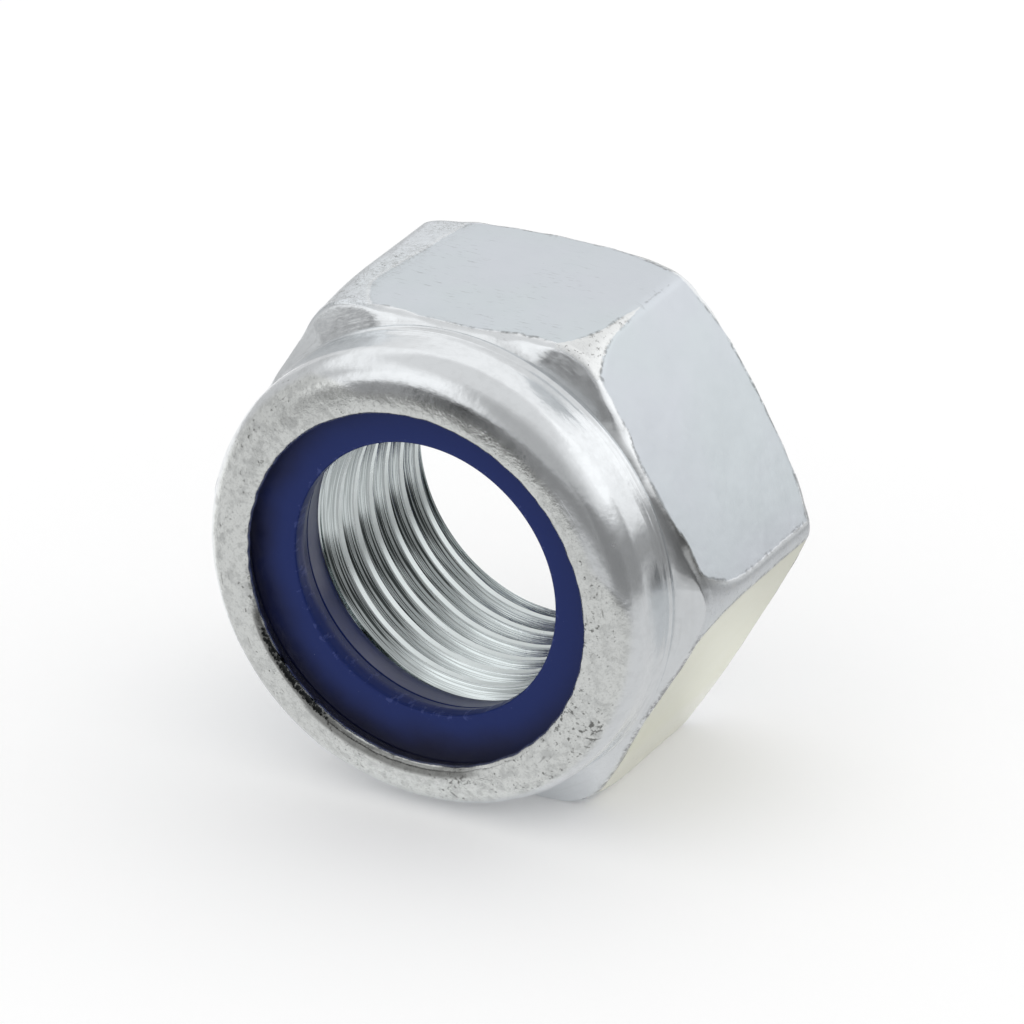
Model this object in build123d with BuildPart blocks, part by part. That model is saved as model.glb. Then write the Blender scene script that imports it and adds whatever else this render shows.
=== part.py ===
"""Hexagon lock nut with a nylon insert, thread M16 x 1.5, lying on one of its flats.

The thread axis lies along Y. The origin is the centre of the bearing face, which faces +Y.
The collar with the insert is at the other end, towards -Y. The flats above and below lie
across Z, so the nut rests on a whole flat, and two of its corners point along +X and -X.
"""

import os
from math import cos, radians, sin, tan

from build123d import *

# Driving dimensions, in millimetres and degrees.

# Hexagon
across_flats = 24.0
nut_height = 16.0
corner_radius = 0.9
bearing_diameter = 21.2  # flat ring that bears on the work
bearing_chamfer_angle = 24.5  # measured from the bearing face
shoulder_angle = 13.0  # shallow stretch beside the collar, measured from the collar's foot plane
shoulder_rim_angle = 42.0  # steep rim at the hexagon's corners, from the same plane
shoulder_turn_share = 0.63  # how far out the shoulder turns steep, from collar foot to sharp corner

# Collar, crimped over the insert
collar_foot_height = 12.1  # bearing face to the foot of the collar
collar_foot_diameter = 23.6
collar_diameter = 23.3
collar_rounding = 1.5  # outer corner of the collar
lip_turn_angle = 22.0  # slope at which the domed lip face meets the outer corner
lip_hole_diameter = 18.0
lip_thickness = 1.0
lip_hole_slope = 0.35  # how much wider the lip's hole is where it meets the insert

# Thread, as a plain hole at its minor diameter
thread_minor_diameter = 14.6
countersink_diameter = 18.0
countersink_depth = 2.0
thread_entry_diameter = 16.0
thread_entry_depth = 0.6

# Nylon insert
insert_outer_diameter = 20.6
insert_thickness = 3.65
insert_hole_diameter = 14.0
insert_land_length = 0.8  # straight stretch of the insert's hole that grips the bolt
insert_edge_rounding = 0.12
insert_crease_depth = 1.7  # front face to the crease where the hole opens out
insert_crease_diameter = 14.6
insert_rear_diameter = 15.5
insert_clearance = 0.02  # radial gap between the insert and the wall of its seat

# Places that follow from the sizes. The nut grows from y = 0 towards -Y.
lip_y = -nut_height
insert_front_y = lip_y + lip_thickness
seat_floor_y = insert_front_y + insert_thickness
collar_foot_y = -collar_foot_height
seat_diameter = insert_outer_diameter + 2 * insert_clearance
blank_radius = across_flats / 2 / cos(radians(30))  # where the hexagon's sharp corners would be

# The domed lip face takes up what the outer corner leaves between the hole and the collar.
lip_turn = sin(radians(lip_turn_angle))
lip_face_width = (collar_diameter - lip_hole_diameter) / 2 - collar_rounding * (1 - lip_turn)
lip_face_radius = lip_face_width / lip_turn

# Nut body: a hexagon bar turned to the outline of bearing face, shoulder, collar and lip
with BuildPart() as nut_body:
    with BuildSketch(Plane.XZ) as hexagon_bar:
        RegularPolygon(across_flats / 2, 6, major_radius=False)
        fillet(hexagon_bar.vertices(), corner_radius)
    extrude(amount=nut_height)

    chamfer_reach = blank_radius - bearing_diameter / 2
    shoulder_reach = blank_radius - collar_foot_diameter / 2
    shoulder_turn_reach = shoulder_reach * shoulder_turn_share
    shoulder_turn_y = collar_foot_y + shoulder_turn_reach * tan(radians(shoulder_angle))
    shoulder_rim_reach = shoulder_reach - shoulder_turn_reach
    shoulder_rim_y = shoulder_turn_y + shoulder_rim_reach * tan(radians(shoulder_rim_angle))
    with BuildSketch(Plane.XY) as turned_outline:
        with BuildLine():
            bearing_side = Polyline(
                (0, 0),
                (bearing_diameter / 2, 0),
                (blank_radius, -chamfer_reach * tan(radians(bearing_chamfer_angle))),
            )
            shoulder = Polyline(
                (blank_radius, shoulder_rim_y),
                (blank_radius - shoulder_rim_reach, shoulder_turn_y),
                (collar_foot_diameter / 2, collar_foot_y),
            )
            Line(bearing_side @ 1, shoulder @ 0)
            lip_front = Line((0, lip_y), (lip_hole_diameter / 2, lip_y))
            lip_face = JernArc(lip_front @ 1, (1, 0), lip_face_radius, lip_turn_angle)
            outer_corner = JernArc(lip_face @ 1, lip_face % 1, collar_rounding, 90 - lip_turn_angle)
            Line(outer_corner @ 1, shoulder @ 1)
            Line((0, lip_y), (0, 0))
        make_face()
    revolve(axis=Axis.Y, mode=Mode.INTERSECT)

    # Countersink, thread bore, insert seat and the hole through the crimped lip
    with BuildSketch(Plane.XY) as bored_outline:
        with BuildLine():
            Polyline(
                (0, 0),
                (countersink_diameter / 2, 0),
                (thread_minor_diameter / 2, -countersink_depth),
                (thread_minor_diameter / 2, seat_floor_y + thread_entry_depth),
                (thread_entry_diameter / 2, seat_floor_y),
                (seat_diameter / 2, seat_floor_y),
                (seat_diameter / 2, insert_front_y),
                (lip_hole_diameter / 2 + lip_hole_slope, insert_front_y),
                (lip_hole_diameter / 2, lip_y),
                (0, lip_y),
                close=True,
            )
        make_face()
    revolve(axis=Axis.Y, mode=Mode.SUBTRACT)
nut_body.part.label = "nut_body"

# Nylon ring: seated on the floor of its recess and held down by the lip
with BuildPart() as nylon_ring:
    with BuildSketch(Plane.XY) as ring_outline:
        with BuildLine():
            Polyline(
                (insert_hole_diameter / 2, insert_front_y),
                (insert_outer_diameter / 2, insert_front_y),
                (insert_outer_diameter / 2, seat_floor_y),
                (insert_rear_diameter / 2, seat_floor_y),
                (insert_crease_diameter / 2, insert_front_y + insert_crease_depth),
                (insert_hole_diameter / 2, insert_front_y + insert_land_length),
                close=True,
            )
        make_face()
        front_corner = ring_outline.vertices().group_by(Axis.Y)[0].sort_by(Axis.X)[0]
        fillet(front_corner, insert_edge_rounding)
    revolve(axis=Axis.Y)
nylon_ring.part.label = "nylon_ring"

os.makedirs("parts", exist_ok=True)
export_step(nut_body.part, "parts/nut_body.step")
export_step(nylon_ring.part, "parts/nylon_ring.step")
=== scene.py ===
"""Hexagon lock nut with a nylon insert: the finished look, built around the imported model.

The nut lies on one of its flats. The thread axis lies along Y, with the bearing face at
y = 0, facing +Y, and the collar with the nylon ring at the other end, towards -Y. Sizes
are in millimetres and become metres when a mesh is made.
"""

import logging
import math
from dataclasses import dataclass, field
from enum import Enum
from typing import Sequence

import bpy
import numpy as np
from mathutils import Matrix, Vector

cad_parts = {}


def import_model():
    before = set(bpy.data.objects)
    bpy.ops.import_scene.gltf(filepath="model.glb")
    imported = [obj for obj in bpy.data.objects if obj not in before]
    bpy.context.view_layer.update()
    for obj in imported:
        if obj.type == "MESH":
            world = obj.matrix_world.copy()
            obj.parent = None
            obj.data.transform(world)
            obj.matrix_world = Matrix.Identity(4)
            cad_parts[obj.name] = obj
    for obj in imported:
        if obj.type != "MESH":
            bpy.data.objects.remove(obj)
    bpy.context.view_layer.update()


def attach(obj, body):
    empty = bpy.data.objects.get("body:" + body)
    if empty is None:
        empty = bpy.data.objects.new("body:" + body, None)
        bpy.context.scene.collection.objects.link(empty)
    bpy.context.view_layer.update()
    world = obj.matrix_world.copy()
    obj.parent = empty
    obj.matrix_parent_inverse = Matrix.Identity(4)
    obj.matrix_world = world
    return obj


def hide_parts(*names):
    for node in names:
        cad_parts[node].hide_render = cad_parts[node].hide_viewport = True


LOG = logging.getLogger("lock_nut")
MM = 0.001
PIVOT_Y = -8.0  # half way along the nut, where the studio has its middle
SIXTH_TURN = math.pi / 3.0  # from one corner of the hexagon to the next

Point = tuple[float, float]
Span = tuple[float, float]
Colour = tuple[float, float, float, float]
Feed = float | Sequence[float] | bpy.types.NodeSocket

WHITE: Colour = (1.0, 1.0, 1.0, 1.0)


class Slot(Enum):
    """Material slots of the record."""

    STEEL = "zinc_plated_steel"
    NYLON = "blue_nylon"


class Mask(Enum):
    """Numbers kept on each point of a mesh, that the finishes read.

    INSET is how far a point lies inside the edge of a flat, in millimetres. The others are
    shares from 0 to 1.
    """

    INSET = "inset"
    WORN = "worn"
    ROUGH = "rough"
    LIP_EDGE_DARK = "lip_edge_dark"
    LIP = "lip"
    COLLAR = "collar"
    THREAD = "thread"
    STRAW_TINT_AND_REFLECTION = "straw_tint_and_reflection"


# ---------------------------------------------------------------- outlines and numbers


def smooth_step(value: np.ndarray, low: float, high: float) -> np.ndarray:
    """Rise smoothly from 0 at low to 1 at high.

    Args:
        value: Numbers to map.
        low: Where the rise starts.
        high: Where the rise ends. Below low, the rise becomes a fall.

    Returns:
        The share of the rise, between 0 and 1.
    """
    share = np.clip((value - low) / (high - low), 0.0, 1.0)
    return share * share * (3.0 - 2.0 * share)


def smooth_min(a: np.ndarray, b: np.ndarray, blend: np.ndarray) -> np.ndarray:
    """Take the smaller of two radii, rounded where they cross.

    Args:
        a: First radii.
        b: Second radii.
        blend: Width of the rounding.

    Returns:
        The smaller radii, rounded.
    """
    overlap = np.maximum(blend - np.abs(a - b), 0.0) / blend
    return np.minimum(a, b) - overlap * overlap * blend * 0.25


def hump(value: np.ndarray, middle: float, width: float) -> np.ndarray:
    """Give a smooth hump of height 1 round a middle."""
    return np.exp(-(((value - middle) / width) ** 2))


def degrees_from(angle: np.ndarray, middle_deg: float) -> np.ndarray:
    """Give by how many degrees each angle lies past a middle, from -180 to 180."""
    return (np.degrees(angle) - middle_deg + 180.0) % 360.0 - 180.0


def from_corner(angle: np.ndarray) -> np.ndarray:
    """Give how far each angle lies from the nearest corner of the hexagon, in radians."""
    return np.abs((angle + SIXTH_TURN / 2.0) % SIXTH_TURN - SIXTH_TURN / 2.0)


def heading(turn_deg: float, rise_deg: float) -> Vector:
    """Give the direction in which something lies, seen from the nut.

    Args:
        turn_deg: Its azimuth, from -Y towards +X.
        rise_deg: Its height above the horizon.

    Returns:
        The direction, with a length of 1.
    """
    turn, rise = math.radians(turn_deg), math.radians(rise_deg)
    return Vector((math.sin(turn) * math.cos(rise), -math.cos(turn) * math.cos(rise), math.sin(rise)))


@dataclass(frozen=True)
class Sector:
    """A stretch round the axis, whole in its middle and faded out at both ends.

    Attributes:
        middle_deg: Its middle, from +X towards +Z.
        outer_deg: How far from the middle it ends.
        inner_deg: How far from the middle it is whole.
    """

    middle_deg: float
    outer_deg: float
    inner_deg: float

    def share(self, angle: np.ndarray) -> np.ndarray:
        """Give how much of the sector is there, at each of these angles."""
        return smooth_step(np.abs(degrees_from(angle, self.middle_deg)), self.outer_deg, self.inner_deg)


@dataclass(frozen=True)
class Ripple:
    """A smooth random unevenness.

    Attributes:
        height: Its typical height.
        length: Typical length of a wave, in millimetres.
        seed: Seed of the pattern.
        waves: How many waves are added up.
    """

    height: float
    length: float
    seed: int
    waves: int = 14

    def at(self, points: np.ndarray) -> np.ndarray:
        """Give the height at each point.

        Args:
            points: Places in millimetres, one row each.

        Returns:
            One height for each point.
        """
        draw = np.random.default_rng(self.seed)
        course = draw.normal(size=(self.waves, 3))
        course /= np.linalg.norm(course, axis=1, keepdims=True)
        pace = math.tau / (self.length * draw.uniform(0.6, 1.6, self.waves))
        start = draw.uniform(0.0, math.tau, self.waves)
        waves = np.sin(points @ course.T * pace + start).sum(axis=1) / math.sqrt(self.waves)
        return self.height * waves


def arc(centre: Point, radius: float, start_deg: float, end_deg: float, steps: int) -> list[Point]:
    """Give points along a round stretch of an outline.

    Args:
        centre: Centre of the arc, as distance from the axis and place along it.
        radius: Radius of the arc.
        start_deg: Start angle, from the outward direction towards +Y.
        end_deg: End angle.
        steps: Number of segments.

    Returns:
        The points, both ends included.
    """
    angles = np.radians(np.linspace(start_deg, end_deg, steps + 1))
    return [(centre[0] + radius * math.cos(t), centre[1] + radius * math.sin(t)) for t in angles]


def stretch(start: Point, end: Point, steps: int) -> list[Point]:
    """Give evenly spaced points along a straight stretch.

    Args:
        start: First point.
        end: Last point.
        steps: Number of segments.

    Returns:
        The points, both ends included.
    """
    share = np.linspace(0.0, 1.0, steps + 1)
    return [(start[0] + (end[0] - start[0]) * s, start[1] + (end[1] - start[1]) * s) for s in share]


def join_outline(parts: Sequence[Sequence[Point]]) -> list[Point]:
    """Join stretches of an outline, without the points that neighbours share.

    Args:
        parts: Stretches in order.

    Returns:
        One list of points, with no point twice in a row.
    """
    out: list[Point] = []
    for part in parts:
        for point in part:
            if not out or math.dist(out[-1], point) > 1e-4:
                out.append(point)
    if math.dist(out[0], out[-1]) < 1e-4:
        out.pop()
    return out


# ---------------------------------------------------------------- work on meshes


def deselect_all() -> None:
    """Leave edit mode and deselect every object."""
    if bpy.context.object and bpy.context.object.mode != "OBJECT":
        bpy.ops.object.mode_set(mode="OBJECT")
    bpy.ops.object.select_all(action="DESELECT")


def make_active(piece: bpy.types.Object) -> None:
    """Select one object alone and make it the active one.

    Args:
        piece: The object.
    """
    deselect_all()
    piece.select_set(True)
    bpy.context.view_layer.objects.active = piece


def lone_point() -> bpy.types.Object:
    """Add a mesh of one point at the origin.

    Returns:
        The mesh, left in edit mode with its point selected.
    """
    deselect_all()
    bpy.ops.mesh.primitive_plane_add(size=MM)
    bpy.ops.object.mode_set(mode="EDIT")
    bpy.ops.mesh.select_all(action="SELECT")
    bpy.ops.mesh.merge(type="CENTER")
    return bpy.context.object


def chain_of_points(name: str, outline: Sequence[Point], closed: bool) -> bpy.types.Object:
    """Draw an outline in the plane z = 0, by extruding one vertex from place to place.

    Args:
        name: Name of the new piece.
        outline: Points as distance from the axis and place along it, in millimetres.
        closed: Whether the last point joins the first.

    Returns:
        The piece, left in edit mode with all of it selected.
    """
    piece = lone_point()
    piece.name = piece.data.name = name
    bpy.ops.transform.translate(value=Vector((outline[0][0], outline[0][1], 0.0)) * MM)
    route = [*outline, outline[0]] if closed else list(outline)
    for last, point in zip(route, route[1:]):
        step = Vector((point[0] - last[0], point[1] - last[1], 0.0)) * MM
        bpy.ops.mesh.extrude_vertices_move(TRANSFORM_OT_translate={"value": step})
    bpy.ops.mesh.select_all(action="SELECT")
    bpy.ops.mesh.remove_doubles(threshold=1e-8)
    return piece


def close_and_face_out() -> None:
    """In edit mode, merge the doubles of the whole mesh and point its faces outwards."""
    bpy.ops.mesh.select_all(action="SELECT")
    bpy.ops.mesh.remove_doubles(threshold=1e-7)
    bpy.ops.mesh.normals_make_consistent(inside=False)
    bpy.ops.object.mode_set(mode="OBJECT")


def turn_solid(name: str, outline: Sequence[Point], steps: int) -> bpy.types.Object:
    """Turn a closed outline about the Y axis, as on a lathe.

    Args:
        name: Name of the new piece.
        outline: Closed outline, clear of the axis.
        steps: Segments round the axis.

    Returns:
        The closed solid.
    """
    piece = chain_of_points(name, outline, closed=True)
    bpy.ops.mesh.spin(steps=steps, angle=math.tau, center=(0, 0, 0), axis=(0, 1, 0))
    close_and_face_out()
    return piece


def places_of(piece: bpy.types.Object) -> np.ndarray:
    """Read the places of a mesh's points.

    Args:
        piece: The mesh's object.

    Returns:
        The places in millimetres, one row each.
    """
    flat = np.empty(len(piece.data.vertices) * 3)
    piece.data.vertices.foreach_get("co", flat)
    return flat.reshape(-1, 3) / MM


def put_places(piece: bpy.types.Object, points: np.ndarray) -> None:
    """Move a mesh's points to new places, given in millimetres."""
    piece.data.vertices.foreach_set("co", (points * MM).ravel())
    piece.data.update()


def keep_mask(piece: bpy.types.Object, mask: Mask, share: np.ndarray) -> None:
    """Keep a number on each point of a mesh, for the finish to read."""
    layer = piece.data.attributes.new(mask.value, "FLOAT", "POINT")
    layer.data.foreach_set("value", share.astype(np.float32))


def cut_away(piece: bpy.types.Object, tool: bpy.types.Object) -> None:
    """Cut the tool's shape out of a piece and throw the tool away.

    Args:
        piece: Closed mesh that is cut.
        tool: Closed mesh that cuts.
    """
    make_active(piece)
    cut = piece.modifiers.new("cut", "BOOLEAN")
    cut.operation = "DIFFERENCE"
    cut.solver = "MANIFOLD"
    cut.object = tool
    bpy.ops.object.modifier_apply(modifier=cut.name)
    bpy.data.objects.remove(tool, do_unlink=True)


def shade(piece: bpy.types.Object, sharp_deg: float) -> None:
    """Shade a piece smooth, with its sharp edges kept.

    Args:
        piece: The piece.
        sharp_deg: Bend above which an edge is sharp.
    """
    make_active(piece)
    bpy.ops.object.shade_smooth_by_angle(angle=math.radians(sharp_deg))
    deselect_all()


# ---------------------------------------------------------------- finishes


@dataclass
class NodeBench:
    """Builds the node tree of one material or of the world.

    Attributes:
        tree: The tree that nodes are added to.
    """

    tree: bpy.types.NodeTree

    def node(self, kind: str, feeds: dict, **settings: object) -> bpy.types.Node:
        """Add a node.

        Args:
            kind: Node type.
            feeds: Value or source of each input, by name or number.
            settings: Properties of the node.

        Returns:
            The node.
        """
        made = self.tree.nodes.new(kind)
        for name, value in settings.items():
            setattr(made, name, value)
        for key, feed in feeds.items():
            if isinstance(feed, bpy.types.NodeSocket):
                self.tree.links.new(feed, made.inputs[key])
            else:
                made.inputs[key].default_value = feed
        return made

    def math(self, operation: str, *feeds: Feed, clamp: bool = False) -> bpy.types.NodeSocket:
        """Add one step of arithmetic.

        Args:
            operation: Name of the operation.
            feeds: Its operands.
            clamp: Whether the result is kept between 0 and 1.

        Returns:
            The result.
        """
        made = self.node("ShaderNodeMath", dict(enumerate(feeds)), operation=operation)
        made.use_clamp = clamp
        return made.outputs[0]

    def band(self, value: Feed, low: float, high: float, top: float = 1.0) -> bpy.types.NodeSocket:
        """Rise smoothly from 0 at low to top at high.

        Args:
            value: Source.
            low: Where the rise starts.
            high: Where the rise ends.
            top: Value above the rise.

        Returns:
            The share.
        """
        feeds = {"Value": value, "From Min": low, "From Max": high, "To Min": 0.0, "To Max": top}
        if low > high:
            feeds |= {"From Min": high, "From Max": low, "To Min": top, "To Max": 0.0}
        made = self.node("ShaderNodeMapRange", feeds, interpolation_type="SMOOTHSTEP")
        return made.outputs["Result"]

    def vector(self, *feeds: Feed) -> bpy.types.NodeSocket:
        """Join three numbers into a vector."""
        return self.node("ShaderNodeCombineXYZ", dict(enumerate(feeds))).outputs[0]

    def mottle(self, place: Feed, per_mm: float, detail: float = 2.0, rough: float = 0.5,
               seed: float = 0.0) -> bpy.types.NodeSocket:
        """Give a soft random pattern from 0 to 1.

        Args:
            place: Place in millimetres.
            per_mm: Fineness, in spots for each millimetre.
            detail: Number of finer layers.
            rough: Strength of the finer layers.
            seed: Number that changes the pattern.

        Returns:
            The pattern.
        """
        feeds = {"Vector": place, "W": seed, "Scale": per_mm, "Detail": detail, "Roughness": rough}
        made = self.node("ShaderNodeTexNoise", feeds, noise_dimensions="4D", normalize=True)
        return made.outputs["Fac"]

    def fold(self, operation: str, *feeds: Feed) -> bpy.types.NodeSocket:
        """Run one operation along a row of numbers, from the first to the last.

        Args:
            operation: Name of the operation.
            feeds: The numbers.

        Returns:
            The result.
        """
        total = feeds[0]
        for feed in feeds[1:]:
            total = self.math(operation, total, feed)
        return total

    def times(self, *feeds: Feed) -> bpy.types.NodeSocket:
        """Multiply numbers."""
        return self.fold("MULTIPLY", *feeds)

    def plus(self, *feeds: Feed) -> bpy.types.NodeSocket:
        """Add numbers up."""
        return self.fold("ADD", *feeds)

    def most(self, *feeds: Feed) -> bpy.types.NodeSocket:
        """Take the largest of some numbers."""
        return self.fold("MAXIMUM", *feeds)

    def rest_of(self, share: Feed) -> bpy.types.NodeSocket:
        """Give what a share leaves of 1."""
        return self.math("SUBTRACT", 1.0, share)

    def centred(self, pattern: Feed) -> bpy.types.NodeSocket:
        """Move a pattern from 0 to 1 so that it swings about 0."""
        return self.math("SUBTRACT", pattern, 0.5)

    def place(self) -> bpy.types.NodeSocket:
        """Give the place on the piece, in millimetres."""
        where = self.node("ShaderNodeTexCoord", {}).outputs["Object"]
        return self.node("ShaderNodeVectorMath", {0: where, "Scale": 1.0 / MM}, operation="SCALE").outputs[0]

    def parts(self, place: Feed) -> Sequence[bpy.types.NodeSocket]:
        """Split a place into its three parts."""
        return self.node("ShaderNodeSeparateXYZ", {0: place}).outputs

    def radius(self, axes: Sequence[bpy.types.NodeSocket]) -> bpy.types.NodeSocket:
        """Give the distance from the Y axis, from the three parts of a place."""
        squares = self.plus(self.times(axes[0], axes[0]), self.times(axes[2], axes[2]))
        return self.math("SQRT", squares)

    def blend(self, share: Feed, under: Feed, over: Feed) -> bpy.types.NodeSocket:
        """Blend two numbers by a share from 0 to 1."""
        feeds = {0: share, 2: under, 3: over}
        return self.node("ShaderNodeMix", feeds, data_type="FLOAT").outputs[0]

    def tint(self, share: Feed, under: Feed, over: Feed) -> bpy.types.NodeSocket:
        """Blend two colours by a share from 0 to 1."""
        feeds = {0: share, 6: under, 7: over}
        return self.node("ShaderNodeMix", feeds, data_type="RGBA").outputs[2]

    def mask(self, mask: Mask) -> bpy.types.NodeSocket:
        """Read a number that the mesh carries."""
        made = self.node("ShaderNodeAttribute", {}, attribute_name=mask.value)
        return made.outputs["Fac"]

    def tilt(self, height: Feed) -> bpy.types.NodeSocket:
        """Tilt the surface by a fine relief, given in millimetres."""
        feeds = {"Height": self.times(height, MM), "Strength": 1.0, "Distance": 1.0}
        return self.node("ShaderNodeBump", feeds).outputs[0]

    def connect(self, shader: bpy.types.Node, feeds: dict[str, bpy.types.NodeSocket]) -> None:
        """Connect sources to a shader's inputs, by name."""
        for name, feed in feeds.items():
            self.tree.links.new(feed, shader.inputs[name])


def new_material(name: str) -> tuple[bpy.types.Material, NodeBench, bpy.types.Node]:
    """Start a material.

    Args:
        name: Name of the material.

    Returns:
        The material, the bench for its nodes and its main shader.
    """
    material = bpy.data.materials.new(name)
    material.use_nodes = True
    return material, NodeBench(material.node_tree), material.node_tree.nodes["Principled BSDF"]


@dataclass(frozen=True)
class ZincPlate:
    """Bright zinc plate over forged and turned steel, with grime in its low spots, a near-black band along
    the lip's inner edge, and painted reflections: dark on one side of the thread and along one flat's front
    edge, warm on the straw flat.

    Attributes:
        collar: Colour of the polished collar.
        worn: Colour of rubbed edges.
        flat: Colour of the flats, where the film is faintly blue.
        flat_cloud: Colour of soft clouds on the flats.
        straw_tint_and_reflection: Colour of the one flat where the film is straw, which also paints in a warm
            reflection of the surface below.
        straw_pale: Colour of that flat's lower end.
        lip: Colour of the dull, crimped lip.
        thread: Colour of the thread.
        dull: Colour of dull patches.
        grime: Colour of the specks and of the seams' dirt.
        crest: Colour of the thread's crests.
        thread_grime_and_dark_reflection: Colour of the fine grime lines in the thread's grooves, and of the
            painted dark reflection in the grooves and on the flanks on one side of the bore.
        lip_edge_black: Colour of the near-black band along the lip's inner edge.
        gloss_flat: Roughness of the flats.
        gloss_collar: Roughness of the collar.
        gloss_lip: Roughness of the lip.
        gloss_worn: Roughness of rubbed edges.
        gloss_thread: Roughness of the thread.
        gloss_crest: Roughness of the thread's crests.
        streak_turn_deg: Heading of the rolling marks on the uppermost flat.
        dull_side: Where the collar and the lip have gone dull.
        scarred: Where the lip has the most marks.
        flecked: Where the lip has the most specks.
        satin: Where the collar is less bright.
        hooped: Where the lines at the collar's foot show most.
        thread_dark: Part of the thread where a dark reflection is painted into the grooves and onto the
            flanks.
        side_seam_dirt_and_reflection: Where dirt and a painted dark reflection lie along the front edge of a
            flat.
        side_seam_dirt_and_reflection_y: Places along the axis between which that dirt and painted reflection
            set in.
        top_flat_z: Heights between which the rolling marks of the uppermost flat set in.
        straw_fade_z: Heights between which the straw flat turns pale.
        straw_speck_z: Heights between which its specks set in.
        hoops_y: Middle of the lines at the collar's foot, along the axis.
        crest_radii: Distances from the axis between which a crest's colour sets in.
        crest_gloss_radii: Distances between which a crest's roughness sets in.
        flank_radii: Distances between which the painted dark reflection on the thread's flanks sets in.
    """

    collar: Colour = (0.83, 0.855, 0.875, 1.0)
    worn: Colour = (0.87, 0.885, 0.885, 1.0)
    flat: Colour = (0.665, 0.715, 0.745, 1.0)
    flat_cloud: Colour = (0.675, 0.71, 0.755, 1.0)
    straw_tint_and_reflection: Colour = (0.84, 0.845, 0.725, 1.0)
    straw_pale: Colour = (0.86, 0.86, 0.78, 1.0)
    lip: Colour = (0.84, 0.86, 0.845, 1.0)
    thread: Colour = (0.80, 0.865, 0.87, 1.0)
    dull: Colour = (0.36, 0.37, 0.37, 1.0)
    grime: Colour = (0.065, 0.064, 0.058, 1.0)
    crest: Colour = (0.69, 0.74, 0.74, 1.0)
    thread_grime_and_dark_reflection: Colour = (0.035, 0.048, 0.046, 1.0)
    lip_edge_black: Colour = (0.012, 0.014, 0.015, 1.0)
    gloss_flat: float = 0.36
    gloss_collar: float = 0.19
    gloss_lip: float = 0.23
    gloss_worn: float = 0.42
    gloss_thread: float = 0.14
    gloss_crest: float = 0.3
    streak_turn_deg: float = 33.0
    dull_side: Sector = Sector(148.0, 50.0, 25.0)
    scarred: Sector = Sector(303.0, 38.0, 16.0)
    flecked: Sector = Sector(346.0, 32.0, 18.0)
    satin: Sector = Sector(12.0, 28.0, 12.0)
    hooped: Sector = Sector(122.0, 36.0, 22.0)
    thread_dark: Sector = Sector(216.0, 30.0, 17.0)
    side_seam_dirt_and_reflection: Sector = Sector(17.0, 15.0, 9.0)
    side_seam_dirt_and_reflection_y: Span = (-9.7, -10.4)
    top_flat_z: Span = (11.5, 11.9)
    straw_fade_z: Span = (-8.4, -10.2)
    straw_speck_z: Span = (-8.6, -10.2)
    hoops_y: float = -12.6
    crest_radii: Span = (7.39, 7.34)
    crest_gloss_radii: Span = (7.42, 7.34)
    flank_radii: Span = (7.36, 7.42)

    def material(self) -> bpy.types.Material:
        """Make the material.

        Returns:
            The zinc plate.
        """
        made, bench, shader = new_material("zinc_plate")
        skin = ZincSkin(self, bench)
        bench.connect(shader, {"Base Color": skin.tone(), "Roughness": skin.roughness(),
                               "Normal": skin.relief()})
        shader.inputs["Metallic"].default_value = 1.0
        return made


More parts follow.
